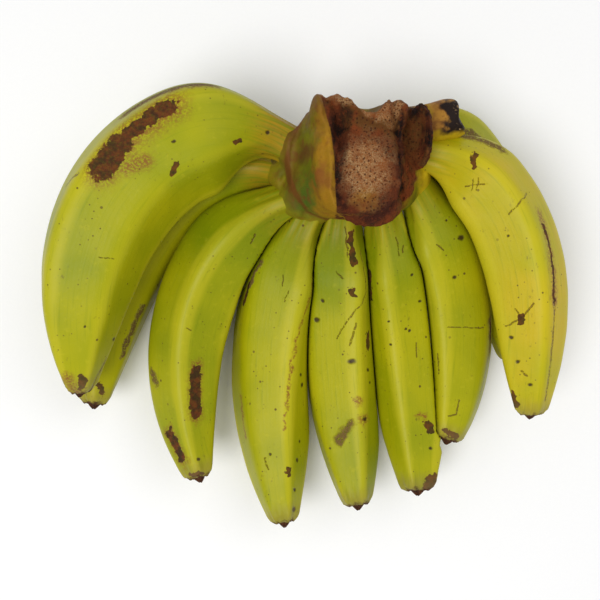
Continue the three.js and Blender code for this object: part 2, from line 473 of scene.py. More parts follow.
def crown_stump():
    """What is left of a finger that was snapped off."""
    begin, end = np.array([48.0, 80, 62]), np.array([75.0, 86.5, 66])
    share = np.linspace(0, 1, 8)
    middles = begin + (end - begin) * share[:, None]
    heads = np.repeat(unit(end - begin)[None, :], len(share), axis=0)
    radii = np.array([12, 11.2, 10.4, 10, 10, 9.9, 9.5, 8.4])
    points, faces = tube(middles, heads, radii)
    end_share = smooth((points[:, 0] - 62) / 12)
    points[:, 0] += end_share * (2.6 * lumps(points, 9, 51) + 1.6 * lumps(points, 4, 52))
    return points, faces


def joined(parts):
    points, faces, start = [], [], 0
    for part_points, part_faces in parts:
        points.append(part_points)
        faces += [[start + i for i in face] for face in part_faces]
        start += len(part_points)
    return np.vstack(points), faces


def remeshed(piece, voxel):
    """One even skin over everything in a mesh."""
    modifier = piece.modifiers.new("skin over", "REMESH")
    modifier.mode = "VOXEL"
    modifier.voxel_size = voxel * MM
    modifier = piece.modifiers.new("even out", "SMOOTH")
    modifier.factor = 0.5
    modifier.iterations = 6
    seen = piece.evaluated_get(bpy.context.evaluated_depsgraph_get())
    mesh = bpy.data.meshes.new_from_object(seen)
    piece.modifiers.clear()
    old = piece.data
    piece.data = mesh
    bpy.data.meshes.remove(old)
    mesh.name = piece.name
    return piece


def points_of(piece):
    """Points of a mesh in the working frame, and their normals."""
    count = len(piece.data.vertices)
    place, normal = np.zeros(count * 3), np.zeros(count * 3)
    piece.data.vertices.foreach_get("co", place)
    piece.data.vertices.foreach_get("normal", normal)
    return place.reshape(-1, 3) / MM - WORK_ORIGIN, normal.reshape(-1, 3)


def set_points(piece, points):
    piece.data.vertices.foreach_set("co", ((points + WORK_ORIGIN) * MM).ravel())
    piece.data.update()


def cut_face(points, normals):
    """1 on the face that the knife left on top of the crown, 0 on its grown skin."""
    x, y, z = points.T
    left = np.interp(y, (38, 48, 61, 74, 85, 94), (15, 14.5, 14.2, 12.6, 9.5, 7))
    inside = smooth((x - left) / 1.6) * smooth((60.5 - x) / 2)
    facing = np.maximum(smooth((normals[:, 2] + 0.15) / 0.4), smooth((x - 30) / 8))
    back = smooth((y - 70) / 6) * smooth((x - 12) / 4)
    start = 68 + 2.5 * lumps(points, 12, 44)
    return inside * smooth((z - start) / 6) * np.maximum(facing, back)


def build_crown(fingers, detail):
    parts = [crown_block(), crown_stump()] + [crown_collar(finger) for finger in fingers]
    parts += [ball(middle, size) for middle, size in CROWN_LUMPS]
    piece = make_object("crown_stalk", *joined(parts))
    remeshed(piece, detail)
    points, _ = points_of(piece)
    set_points(piece, bitten(points))
    remeshed(piece, detail)
    points, normals = points_of(piece)
    upper = smooth((points[:, 2] - 56) / 8)
    facing = smooth((normals[:, 2] + 0.3) / 0.6)
    for _, path, width, lift in CROWN_STROKES:
        wobble = near_path(points, path) + 0.7 * lumps(points, 9, len(path))
        weight = np.exp(-((wobble / width) ** 2)) * upper * facing
        points[:, 2] += lift * weight
    set_points(piece, points)
    points, normals = points_of(piece)
    cut = cut_face(points, normals)
    fibres = lumps(points, 5, 41) * 0.45 + lumps(points, 2.6, 42) * 0.3
    skin = lumps(points, 14, 43) * 0.35
    points = points + normals * (fibres * cut + skin * (1 - cut))[:, None]
    set_points(piece, points)
    piece.data.shade_smooth()
    points, normals = points_of(piece)
    collar = np.exp(-((near_path(points, COLLAR_PATH) / 1.6) ** 2)) * smooth((74 - points[:, 2]) / 6)
    collar = collar * smooth((points[:, 2] - 46) / 10)
    store(piece, "cut", cut_face(points, normals))
    store(piece, "collar", collar)
    store(piece, "place", points)
    return piece


# ---- Shader maths -----------------------------------------------------------


class Wire:
    """A number or vector that changes over the surface; sums on it add Math nodes."""

    def __init__(self, paint, socket):
        self.paint = paint
        self.socket = socket

    def __add__(self, other):
        return self.paint.maths("ADD", self, other)

    def __radd__(self, other):
        return self.paint.maths("ADD", other, self)

    def __sub__(self, other):
        return self.paint.maths("SUBTRACT", self, other)

    def __rsub__(self, other):
        return self.paint.maths("SUBTRACT", other, self)

    def __mul__(self, other):
        return self.paint.maths("MULTIPLY", self, other)

    def __rmul__(self, other):
        return self.paint.maths("MULTIPLY", other, self)

    def __truediv__(self, other):
        return self.paint.maths("DIVIDE", self, other)

    def larger(self, other):
        return self.paint.maths("MAXIMUM", self, other)

    def over(self, low, high):
        """0 below low, 1 above high and smooth between; falls instead if high is below low."""
        settings = {"interpolation_type": "SMOOTHSTEP"}
        values = {"Value": self, "From Min": low, "From Max": high}
        if high < low:
            values = {"Value": self, "From Min": high, "From Max": low}
            values.update({"To Min": 1.0, "To Max": 0.0})
        return self.paint.node("ShaderNodeMapRange", settings, values).output("Result")


class Node:
    def __init__(self, paint, node):
        self.paint = paint
        self.node = node

    def output(self, name):
        return Wire(self.paint, self.node.outputs[name])


class Paint:
    """One node material being made."""

    def __init__(self, name):
        self.material = bpy.data.materials.new(name)
        self.material.use_nodes = True
        self.tree = self.material.node_tree
        self.shader = self.tree.nodes["Principled BSDF"]

    def link(self, value, socket):
        if isinstance(value, Wire):
            self.tree.links.new(value.socket, socket)
        elif hasattr(socket.default_value, "__len__") and len(socket.default_value) == 4:
            socket.default_value = (*tuple(value)[:3], 1.0)
        else:
            socket.default_value = value

    def node(self, kind, settings=None, values=None):
        made = self.tree.nodes.new(kind)
        for name, setting in (settings or {}).items():
            setattr(made, name, setting)
        for name, value in (values or {}).items():
            self.link(value, made.inputs[name])
        return Node(self, made)

    def maths(self, operation, *values):
        numbered = dict(enumerate(values))
        return self.node("ShaderNodeMath", {"operation": operation}, numbered).output("Value")

    def vector(self, operation, *values, result="Vector"):
        numbered = dict(enumerate(values))
        settings = {"operation": operation}
        return self.node("ShaderNodeVectorMath", settings, numbered).output(result)

    def mix(self, share, first, second):
        """From the first colour at 0 to the second at 1."""
        made = self.tree.nodes.new("ShaderNodeMix")
        made.data_type = "RGBA"
        self.link(share, made.inputs[0])
        self.link(first, made.inputs[6])
        self.link(second, made.inputs[7])
        return Wire(self, made.outputs[2])

    def attribute(self, name, result="Vector"):
        return self.node("ShaderNodeAttribute", {"attribute_name": name}).output(result)

    def split(self, vector):
        parts = self.node("ShaderNodeSeparateXYZ", None, {"Vector": vector})
        return parts.output("X"), parts.output("Y"), parts.output("Z")

    def join(self, x, y, z):
        return self.node("ShaderNodeCombineXYZ", None, {"X": x, "Y": y, "Z": z}).output("Vector")

    def millimetres(self):
        """Where the point is, in mm."""
        place = self.node("ShaderNodeTexCoord").output("Object")
        return self.vector("MULTIPLY", place, (1 / MM, 1 / MM, 1 / MM))

    def noise(self, place, size, detail=2.0, roughness=0.55):
        """Cloudy noise with lumps of about this size in mm, from 0 to 1."""
        values = {"Vector": place, "Scale": 1 / size, "Detail": detail, "Roughness": roughness}
        return self.node("ShaderNodeTexNoise", None, values).output("Fac")

    def cells(self, place, size):
        """Distance to scattered points about this many mm apart."""
        values = {"Vector": place, "Scale": 1 / size}
        return self.node("ShaderNodeTexVoronoi", None, values).output("Distance")

    def stretched(self, place, x, y, z):
        return self.vector("MULTIPLY", place, (x, y, z))

    def surface(self, colour, roughness, height, depth):
        """Puts colour, roughness and a bump of this depth in mm on the shader."""
        values = {"Height": height, "Distance": depth * MM, "Strength": 1.0}
        bump = self.node("ShaderNodeBump", None, values).output("Normal")
        self.link(colour, self.shader.inputs["Base Color"])
        self.link(roughness, self.shader.inputs["Roughness"])
        self.link(bump, self.shader.inputs["Normal"])
        return self.material


# ---- Finishes ---------------------------------------------------------------

DEEP_GREEN = (0.15, 0.215, 0.001)
YELLOW_GREEN = (0.41, 0.385, 0.002)
RIPE_YELLOW = (0.60, 0.42, 0.008)
RIDGE_YELLOW = (0.56, 0.49, 0.018)
NECK_ORANGE = (0.38, 0.22, 0.008)
NECK_OLIVE = (0.20, 0.20, 0.006)
BROWN = (0.11, 0.036, 0.012)
DARK_BROWN = (0.032, 0.013, 0.006)
RED_BROWN = (0.22, 0.065, 0.014)
SCAR_RED = (0.12, 0.028, 0.008)
CORK = (0.21, 0.135, 0.055)
SPECK = (0.085, 0.042, 0.008)

# Marks on the skins: kind, then where each starts and ends as (share of the length, degrees round
# from the top of the finger), and its half width in mm.
MARKS = {
    1: [
        ("halo", (0.48, -14), (0.30, -22), 6.0),
        ("halo", (0.44, 2), (0.40, 12), 3.5),
        ("scar", (0.475, -15), (0.42, -18), 4.4),
        ("scar", (0.42, -18), (0.30, -23), 2.6),
        ("scab", (0.36, -60), (0.225, -52), 4.4),
        ("halo", (0.38, -56), (0.22, -46), 3.0),
        ("scratch", (0.51, -33), (0.545, -50), 0.8),
        ("scar", (0.35, 33), (0.37, 37), 1.3),
        ("scar", (0.17, 30), (0.185, 31), 1.1),
        ("scratch", (0.65, 24), (0.64, 38), 0.35),
        ("halo", (0.95, -20), (0.99, 5), 2.2),
        ("scar", (0.955, 24), (0.98, 30), 1.6),
    ],
    2: [
        ("scab", (0.70, 62), (0.86, 58), 1.3),
        ("scar", (0.95, 20), (0.97, 35), 1.2),
    ],
    3: [
        ("halo", (0.665, 28), (0.83, 27), 3.2),
        ("scar", (0.68, 28), (0.82, 27), 2.5),
        ("scar", (0.86, -44), (0.935, -32), 2.3),
        ("halo", (0.86, -44), (0.94, -30), 3.2),
        ("scab", (0.69, -62), (0.725, -52), 1.8),
        ("scratch", (0.17, 35), (0.20, 38), 0.5),
        ("scratch", (0.55, 5), (0.555, 12), 0.4),
        ("scar", (0.985, -20), (0.99, 20), 1.5),
    ],
    4: [
        ("scar", (0.36, -63), (0.30, -55), 1.3),
        ("scab", (0.30, -52), (0.22, -45), 1.2),
        ("halo", (0.16, 62), (0.30, 40), 0.8),
        ("halo", (0.30, 40), (0.444, 27), 0.8),
        ("halo", (0.444, 27), (0.594, 23), 0.7),
        ("halo", (0.594, 23), (0.725, 18), 0.6),
        ("scratch", (0.81, -19), (0.84, -17), 0.7),
        ("scar", (0.845, 24), (0.87, 25), 0.9),
        ("scratch", (0.23, -2), (0.26, 1), 0.4),
        ("scratch", (0.27, 10), (0.31, 8), 0.4),
        ("halo", (0.62, -55), (0.74, -60), 1.0),
    ],
    5: [
        ("scar", (0.10, 24), (0.19, 20), 1.3),
        ("scratch", (0.08, 10), (0.17, 12), 0.4),
        ("scratch", (0.294, 35), (0.39, 8), 0.45),
        ("scratch", (0.39, 8), (0.456, -6), 0.45),
        ("scratch", (0.16, 40), (0.294, 35), 0.4),
        ("scar", (0.28, 13), (0.30, 15), 1.4),
        ("scratch", (0.22, -6), (0.24, 3), 0.5),
        ("scratch", (0.40, 18), (0.48, 10), 0.6),
        ("scar", (0.455, 40), (0.50, 39), 1.7),
        ("halo", (0.67, 17), (0.68, 17), 1.8),
        ("halo", (0.735, 26), (0.74, 26), 2.6),
        ("scab", (0.80, -20), (0.75, 2), 2.2),
    ],
    6: [
        ("scratch", (0.13, 14), (0.185, 8), 0.5),
        ("scratch", (0.16, 22), (0.18, 16), 0.4),
        ("scar", (0.23, -47), (0.33, -48), 1.3),
        ("scratch", (0.51, 14), (0.56, 13), 0.5),
        ("scar", (0.79, 24), (0.81, 29), 2.1),
        ("halo", (0.76, 8), (0.765, 20), 1.4),
        ("scar", (0.97, 44), (0.99, 40), 2.6),
    ],
    7: [
        ("scratch", (0.581, -24), (0.594, 32), 0.4),
        ("scab", (0.575, 50), (0.68, 60), 2.6),
        ("scar", (0.59, 54), (0.63, 58), 1.4),
        ("scratch", (0.70, 52), (0.87, 62), 0.8),
        ("scratch", (0.86, 0), (0.912, 1), 0.6),
        ("scratch", (0.912, 1), (0.92, -18), 0.6),
        ("scratch", (0.69, -41), (0.77, -41), 0.7),
        ("scratch", (0.24, -20), (0.27, -12), 0.4),
        ("scar", (0.975, -25), (0.985, 25), 1.4),
    ],
    8: [
        ("scar", (0.185, 12), (0.20, -4), 1.4),
        ("scratch", (0.219, -36), (0.265, -12), 0.45),
        ("scratch", (0.225, -20), (0.245, -34), 0.4),
        ("scratch", (0.235, -14), (0.258, -28), 0.4),
        ("scratch", (0.356, 30), (0.36, 10), 0.45),
        ("scratch", (0.36, 10), (0.38, -10), 0.45),
        ("scab", (0.15, 64), (0.235, 60), 2.4),
        ("halo", (0.42, 36), (0.66, 28), 2.4),
        ("scar", (0.45, 34), (0.56, 30), 1.1),
        ("scar", (0.56, 30), (0.66, 26), 0.8),
        ("scratch", (0.66, 26), (0.80, 25), 0.9),
        ("scratch", (0.80, 25), (0.95, 34), 0.9),
        ("scar", (0.69, -29), (0.71, -27), 1.6),
        ("scratch", (0.655, -7), (0.70, -28), 0.5),
        ("scratch", (0.70, -28), (0.72, -53), 0.5),
        ("scratch", (0.67, -34), (0.70, -28), 0.5),
        ("scratch", (0.86, -34), (0.87, -24), 0.6),
        ("scar", (0.94, -66), (0.96, -60), 1.8),
    ],
    9: [
        ("scab", (0.20, 20), (0.30, 40), 2.0),
    ],
}

# Dark dots: share of the length, degrees round from the top, and half width in mm.
SPOTS = {
    1: [(0.325, 11, 0.7), (0.10, 6, 1.0), (0.82, 22, 0.6)],
    2: [(0.62, 30, 0.8)],
    3: [(0.95, 20, 0.7)],
    4: [(0.556, 46, 1.0), (0.59, 52, 1.2), (0.77, 55, 0.9), (0.825, 49, 1.2), (0.91, 46, 1.0),
        (0.80, -8, 0.7), (0.965, 50, 1.4)],
    5: [(0.325, -26, 0.9), (0.394, -35, 1.4), (0.538, 11, 1.5), (0.575, 37, 1.1),
        (0.737, 26, 1.2), (0.62, 42, 0.8)],
    6: [(0.262, 21, 0.8), (0.362, 29, 0.8), (0.45, 0, 0.7), (0.46, 6, 0.8), (0.41, -20, 0.7),
        (0.50, -22, 0.7), (0.87, 32, 0.9)],
    7: [(0.256, 19, 1.5), (0.388, -6, 1.0), (0.18, 10, 0.6)],
    8: [(0.756, -46, 0.8), (0.83, -40, 0.9), (0.90, -17, 0.9), (0.438, -22, 0.6)],
    9: [(0.14, 10, 0.7)],
}
HIDDEN_MARKS = 9  # more marks on each underside, at random
# How ripe each peel is; finger 2's value is raised further as painted light, lightening it where finger
# 1 shades it.
RIPENESS_AND_PAINTED_LIGHT = {1: 0.42, 2: 0.60, 3: 0.40, 4: 0.52, 5: 0.36, 6: 0.42, 7: 0.50, 8: 1.05, 9: 0.6}
NECK_GREEN = {1: 0.35, 7: 0.5, 8: 0.0, 9: 0.2}
NECK_STAIN = {1: 0.95, 2: 0.90, 8: 0.40, 9: 0.8}


def on_skin(finger, share, degrees):
    """A place on a finger's skin as flat coordinates in mm: along, and round from the top."""
    radius = float(finger.girth(np.array([share]))[0]) * finger.full
    return np.array([share * finger.facts["length"], math.radians(degrees) * radius, 0.0])


def nearness(paint, flat, finger, start, end, width, edge):
    """1 within width of a line on the skin, falling to 0 outside it."""
    first, last = on_skin(finger, *start), on_skin(finger, *end)
    run = last - first
    away = paint.vector("SUBTRACT", flat, tuple(first))
    if run @ run > 1e-6:
        along = paint.vector("DOT_PRODUCT", away, tuple(run / (run @ run)), result="Value")
        settings = {"operation": "ADD", "use_clamp": True}
        held = paint.node("ShaderNodeMath", settings, {0: along, 1: 0.0}).output("Value")
        foot = paint.vector("MULTIPLY", paint.join(held, held, held), tuple(run))
        away = paint.vector("SUBTRACT", away, foot)
    distance = paint.vector("LENGTH", away, result="Value")
    return distance.over(width * (1 + edge), width * (1 - edge))


def own_marks(finger):
    spots = [("spot", place, place, width) for *place, width in SPOTS[finger.number]]
    return MARKS[finger.number] + spots


def hidden_marks(finger):
    """Scars and scratches for the sides that lie down or face away."""
    random = np.random.default_rng(500 + finger.number)
    kinds = ("scar", "scratch", "spot", "halo", "scab")
    marks = []
    for i in range(HIDDEN_MARKS):
        kind = kinds[i % len(kinds)]
        share, degrees = random.uniform(0.2, 0.92), random.uniform(95, 170)
        degrees = degrees if i % 2 else -degrees
        end = (share + random.uniform(0.01, 0.09), degrees + random.uniform(-12, 12))
        if kind == "spot":
            end = (share, degrees)
        marks.append((kind, (share, degrees), end, random.uniform(0.5, 1.0)))
    return marks


def skin_material(finger, look):
    """Waxy peel: greener at the neck, lighter on the ridges, scarred and specked, with painted shade in
    olive where the fingers press on each other.
    """
    number = finger.number
    green, yellow_green = tuple(look.green), tuple(look.yellow_green)
    yellow, ridge_colour = tuple(look.yellow), tuple(look.ridge)
    paint = Paint(f"peel_{number}")
    place = paint.millimetres()
    place = paint.vector("ADD", place, (37.0 * number, 11.0 * number, 5.0 * number))
    along, degrees, radius = paint.split(paint.attribute("skin"))
    share, ridge, painted_contact_shade = paint.split(paint.attribute("bands"))
    around = degrees * radius * math.radians(1)
    flat = paint.join(along, around, 0.0)

    cloud = paint.noise(place, 42, detail=2)
    fine = paint.noise(place, 3.2, detail=3)
    grain = paint.noise(place, 0.55, detail=2)
    streak = paint.noise(paint.stretched(flat, 0.035, 0.8, 1.0), 1.0, detail=3)

    # Ripeness tone, with painted light lifting finger 2.
    ripe_and_painted_light = RIPENESS_AND_PAINTED_LIGHT[number] + (cloud - 0.5) * 1.1
    colour = paint.mix(ripe_and_painted_light.over(-0.25, 0.75), green, yellow_green)
    colour = paint.mix(ripe_and_painted_light.over(0.75, 1.35), colour, yellow)
    colour = paint.mix(share.over(0.45, 0.08) * NECK_GREEN.get(number, 0.65), colour, green)
    colour = paint.mix(ridge.over(0.45, 1.0) * 0.40, colour, ridge_colour)
    colour = paint.mix(streak.over(0.52, 0.75) * 0.30, colour, green)
    colour = paint.mix(fine.over(0.56, 0.78) * 0.22, colour, ridge_colour)
    # Painted shade: darker olive where the fingers press on each other.
    colour = paint.mix(painted_contact_shade.over(0.2, 1.0) * 0.35, colour, NECK_OLIVE)

    neck = share.over(0.18, 0.08)
    neck_colour = paint.mix(streak.over(0.35, 0.65), NECK_ORANGE, NECK_OLIVE)
    colour = paint.mix(neck * NECK_STAIN.get(number, 0.35), colour, neck_colour)

    # Scattered pin specks and a few larger ones.
    pins = paint.cells(place, 3.4)
    sparse = paint.noise(place, 13, detail=1).over(0.42, 0.60)
    specks = pins.over(0.135, 0.075) * sparse
    blots = paint.cells(place, 9.0)
    specks = specks.larger(blots.over(0.085, 0.055) * cloud.over(0.35, 0.5))
    rub = paint.noise(paint.stretched(place, 1.0, 0.45, 1.0), 2.1, detail=4, roughness=0.75)
    colour = paint.mix(rub.over(0.60, 0.72) * sparse * 0.45, colour, SPECK)
    colour = paint.mix(specks * 0.85, colour, SPECK)

    # Marks that this finger has of its own.
    wander = paint.node("ShaderNodeTexNoise", None, {"Vector": place, "Scale": 1 / 4.0})
    drift = paint.vector("SUBTRACT", wander.output("Color"), (0.5, 0.5, 0.5))
    ragged = paint.vector("ADD", flat, paint.vector("MULTIPLY", drift, (7.0, 5.0, 0.0)))
    steady = paint.vector("ADD", flat, paint.vector("MULTIPLY", drift, (2.0, 2.0, 0.0)))
    masks = {}
    for kind, start, end, width in own_marks(finger) + hidden_marks(finger):
        field = ragged if kind in ("scar", "halo", "scab") else steady
        edge = {"scar": 0.45, "halo": 0.8, "scab": 0.6}.get(kind, 0.5)
        width = width * 0.72 if kind == "scratch" else width
        mask = nearness(paint, field, finger, start, end, width, edge)
        masks[kind] = masks[kind].larger(mask) if kind in masks else mask
    wear = paint.noise(place, 1.1, detail=4, roughness=0.7)
    rough = specks * 0.3
    height = (fine - 0.5) * 0.35 + (grain - 0.5) * 0.10 + (streak - 0.5) * 0.25
    if "halo" in masks:
        colour = paint.mix(masks["halo"] * wear.over(0.38, 0.56) * 0.85, colour, RED_BROWN)
    if "scab" in masks:
        scab = masks["scab"] * wear.over(0.36, 0.50)
        colour = paint.mix(scab * 0.9, colour, paint.mix(wear, CORK, BROWN))
        rough = rough.larger(scab)
        height = height + scab * (wear + 0.4)
    if "scar" in masks:
        scar = (masks["scar"] + (wear - 0.5) * 1.1).over(0.25, 0.55) * masks["scar"].over(0.0, 0.15)
        colour = paint.mix(scar * 0.92, colour, paint.mix(fine.over(0.35, 0.65), DARK_BROWN, SCAR_RED))
        rough = rough.larger(scar)
        height = height + scar * (wear * 1.5 - 0.9)
    if "scratch" in masks:
        scratch = masks["scratch"] * wear.over(0.40, 0.56)
        colour = paint.mix(scratch * 0.7, colour, BROWN)
        height = height - scratch * 0.8
    if "spot" in masks:
        colour = paint.mix(masks["spot"] * 0.92, colour, DARK_BROWN)
        height = height - masks["spot"] * 0.7

    # The dry blossom end.
    end_edge = share + (paint.noise(place, 3.0, detail=3) - 0.5) * 0.03
    dry = end_edge.over(0.990, 1.002)
    colour = paint.mix(end_edge.over(0.93, 1.0) * 0.45, colour, CORK)
    colour = paint.mix(dry, colour, paint.mix(wear.over(0.35, 0.65), DARK_BROWN, BROWN))
    rough = rough.larger(dry)
    height = height + dry * wear * 1.5

    roughness = 0.44 + rough * 0.36 + (fine - 0.5) * 0.10
    paint.shader.inputs["Specular IOR Level"].default_value = 0.18
    return paint.surface(colour, roughness, height, 0.35)


CUT_TAN = (0.36, 0.125, 0.03)
CUT_PALE = (0.58, 0.37, 0.17)
RUST = (0.24, 0.052, 0.012)
PURPLE_BROWN = (0.065, 0.016, 0.008)
CHAR = (0.014, 0.007, 0.005)
HOLLOW_BROWN = (0.15, 0.06, 0.014)
FLANK_GREEN = (0.11, 0.115, 0.005)
FLANK_BLUE_GREEN = (0.06, 0.11, 0.012)
FLANK_ORANGE = (0.36, 0.16, 0.008)
COLLAR_BROWN = (0.16, 0.055, 0.012)
STUMP_ORANGE = (0.40, 0.19, 0.025)


def crown_material(look):
    """Cut and dried stalk: fibrous tan face, rust and char round it, green flanks below."""
    cut_tan, cut_pale, rust = tuple(look.tan), tuple(look.pale), tuple(look.rust)
    paint = Paint("cut_crown")
    place = paint.attribute("place")
    wander = paint.node("ShaderNodeTexNoise", None, {"Vector": place, "Scale": 1 / 6.0})
    drift = paint.vector("SUBTRACT", wander.output("Color"), (0.5, 0.5, 0.5))
    moved = paint.vector("ADD", place, paint.vector("MULTIPLY", drift, (9.0, 9.0, 9.0)))
    x, y, z = paint.split(moved)

    def patch(middle, size, inner=0.75, outer=1.2):
        """1 in an oval seen from above, 0 outside it."""
        away = paint.vector("SUBTRACT", moved, (*middle, 0.0))
        scaled = paint.vector("MULTIPLY", away, (1 / size[0], 1 / size[1], 0.0))
        return paint.vector("LENGTH", scaled, result="Value").over(outer, inner)

    cut = paint.attribute("cut", "Fac")
    wear = paint.noise(place, 1.0, detail=4, roughness=0.7)
    cloud = paint.noise(place, 9.0, detail=2)
    fibre = paint.noise(paint.stretched(place, 1.0, 1.0, 0.3), 0.55, detail=4, roughness=0.75)
    pores = paint.cells(place, 1.6)

    # Grown skin of the crown.
    skin = paint.mix(cloud.over(0.25, 0.75), FLANK_GREEN, NECK_OLIVE)
    skin = paint.mix(patch((6, 48), (13, 11), 0.3, 1.3) * 0.85, skin, FLANK_BLUE_GREEN)
    strip = x.over(4.0, 9.0) * z.over(62, 76)
    skin = paint.mix(strip * (cloud * 0.6 + 0.45), skin, FLANK_ORANGE)
    skin = paint.mix(paint.noise(place, 5.0, detail=4).over(0.48, 0.72) * 0.75, skin, COLLAR_BROWN)
    skin = paint.mix(wear.over(0.58, 0.74) * 0.6, skin, COLLAR_BROWN)
    skin = paint.mix(y.over(70, 90) * 0.65, skin, COLLAR_BROWN)
    skin = paint.mix(x.over(2, -4) * z.over(56, 68) * 0.6, skin, COLLAR_BROWN)
    skin = paint.mix(patch((3, 67), (5, 5), 0.2, 1.3) * 0.8, skin, BROWN)
    skin = paint.mix(patch((9, 54), (4.5, 7), 0.2, 1.3) * 0.7, skin, RED_BROWN)
    below = z.over(62, 50)
    skin = paint.mix(below * 0.75, skin, NECK_ORANGE)
    skin = paint.mix(below * cloud.over(0.30, 0.58) * 0.75, skin, NECK_OLIVE)
    skin = paint.mix(z.over(45, 30) * 0.6, skin, YELLOW_GREEN)
    # Painted shade: a dark brown spot where a neck meets the crown stands in for a small pit.
    skin = paint.mix(patch((-13, 68.5), (3.5, 2.4)) * below, skin, DARK_BROWN)
    right = x.over(54, 60) * z.over(78, 66)
    skin = paint.mix(right * 0.8, skin, RIPE_YELLOW)

    # The face that the knife left.
    face = paint.mix(cloud.over(0.35, 0.60), rust, HOLLOW_BROWN)
    oval = patch((29, 57), (14.5, 19), 0.35, 1.1)
    tan = paint.mix(fibre.over(0.42, 0.58), cut_tan, cut_pale)
    tan = paint.mix(paint.noise(place, 7.0, detail=2).over(0.60, 0.42) * 0.5, tan, cut_tan)
    face = paint.mix(patch((29, 52), (17, 22), 0.8, 1.1), face, PURPLE_BROWN)
    face = paint.mix(oval, face, tan)
    face = paint.mix(patch((28, 43), (7, 5), 0.2, 1.3) * 0.7, face, STUMP_ORANGE)
    face = paint.mix(patch((17, 75), (6.5, 16), 0.3, 1.15) * 0.95, face, CHAR)
    face = paint.mix(patch((15.5, 52), (2.2, 14), 0.3, 1.2) * 0.9, face, CHAR)
    rim = (y + x * 0.43).over(92.5, 95.5) * x.over(43, 37)
    face = paint.mix(rim * 0.9, face, tan)
    face = paint.mix(patch((51, 75), (6, 14)) * 0.9, face, HOLLOW_BROWN)
    face = paint.mix(patch((44.5, 66), (2.2, 24), 0.5, 1.2), face, CHAR)
    face = paint.mix(patch((57.5, 76), (2.6, 17), 0.5, 1.2), face, CHAR)
    face = paint.mix(patch((53, 87), (6, 5), 0.3, 1.2), face, CHAR)
    face = paint.mix(patch((43, 87), (3.2, 6.5), 0.6, 1.2), face, tan)
    flecks = paint.noise(place, 1.9, detail=3, roughness=0.8)
    face = paint.mix(flecks.over(0.52, 0.64) * 0.50, face, rust)
    face = paint.mix(flecks.over(0.47, 0.36) * oval * 0.55, face, cut_pale)
    face = paint.mix(pores.over(0.36, 0.16) * 0.80, face, PURPLE_BROWN)
    face = paint.mix(cloud.over(0.56, 0.40) * 0.35, face, rust)
    face = paint.mix(wear.over(0.56, 0.70) * 0.55, face, PURPLE_BROWN)

    colour = paint.mix(cut.over(0.35, 0.65), skin, face)
    stump = x.over(58, 62) * y.over(77, 80) * z.over(52, 57)
    stump_colour = paint.mix(cloud.over(0.42, 0.60) * 0.8, STUMP_ORANGE, COLLAR_BROWN)
    stump_colour = paint.mix(wear.over(0.52, 0.68) * 0.6, stump_colour, COLLAR_BROWN)
    charred = (x + (cloud - 0.5) * 24 + (wear - 0.5) * 3).over(65, 69)
    stump_colour = paint.mix(charred, stump_colour, CHAR)
    stump_colour = paint.mix(x.over(71, 74) * wear.over(0.57, 0.68), stump_colour, cut_pale)
    colour = paint.mix(stump, colour, stump_colour)
    collar = paint.attribute("collar", "Fac")
    colour = paint.mix(collar.over(0.25, 0.8) * 0.85, colour, COLLAR_BROWN)

    height = cut * (fibre * 1.2 + wear * 0.8 - pores.over(0.34, 0.16) * 0.6)
    height = height + (1 - cut) * (wear * 0.35 + cloud * 0.3)
    roughness = 0.58 + cut * 0.30 + (wear - 0.5) * 0.15
    paint.shader.inputs["Specular IOR Level"].default_value = 0.15
    return paint.surface(colour, roughness, height, 0.9)


def floor_material():
    """Matt white board with a very faint tooth."""
    paint = Paint("white_board")
    place = paint.millimetres()
    tooth = paint.noise(place, 1.5, detail=3)
    colour = paint.mix(tooth, (0.93, 0.93, 0.93), (0.96, 0.96, 0.96))
    return paint.surface(colour, 0.85 + tooth * 0.1, tooth, 0.05)


# ---- Stage ------------------------------------------------------------------

# Where the soft lights stand, what they face and how wide they are, in metres.
LIT_PLACE = (0, 0, 0.04)
KEY_PLACE = (-0.35, -0.30, 1.05)
KEY_SIZE = 0.6
FILL_PLACE = (0.55, 0.45, 0.90)
FILL_SIZE = 0.9


def add_light(name, place, target, size, power):
    light = bpy.data.lights.new(name, "AREA")
    light.shape = "DISK"
    light.size = size
    light.energy = power
    lamp = bpy.data.objects.new(name, light)
    lamp.location = place
    lamp.rotation_mode = "QUATERNION"
    lamp.rotation_quaternion = (Vector(target) - Vector(place)).to_track_quat("-Z", "Y")
    bpy.context.scene.collection.objects.link(lamp)


def build_stage(settings):
    scene = bpy.context.scene
    half = settings.floor_size / 2
    corners = [(-half, -half, 0), (half, -half, 0), (half, half, 0), (-half, half, 0)]
    mesh = bpy.data.meshes.new("floor")
    mesh.from_pydata(corners, [], [(0, 1, 2, 3)])
    floor = bpy.data.objects.new("floor", mesh)
    floor.data.materials.append(floor_material())
    scene.collection.objects.link(floor)

    world = bpy.data.worlds.new("studio")
    scene.world = world
    world.use_nodes = True
    world.node_tree.nodes["Background"].inputs["Color"].default_value = (1, 1, 1, 1)
    world.node_tree.nodes["Background"].inputs["Strength"].default_value = settings.world_light
    add_light("key", KEY_PLACE, LIT_PLACE, KEY_SIZE, settings.key_power)
    add_light("fill", FILL_PLACE, LIT_PLACE, FILL_SIZE, settings.fill_power)

    camera = bpy.data.cameras.new("camera")
    camera.lens = settings.lens
    camera.sensor_width = 36
    eye = bpy.data.objects.new("camera", camera)
    height = (settings.camera_height + WORK_ORIGIN[2]) * MM
    eye.location = (WORK_ORIGIN[0] * MM, WORK_ORIGIN[1] * MM, height)
    scene.collection.objects.link(eye)
    scene.camera = eye
    scene.view_settings.view_transform = "Standard"


# ---- The add-on -------------------------------------------------------------


def colour_property(name, description, default):
    return FloatVectorProperty(
        name=name, description=description, default=default, size=3, subtype="COLOR")


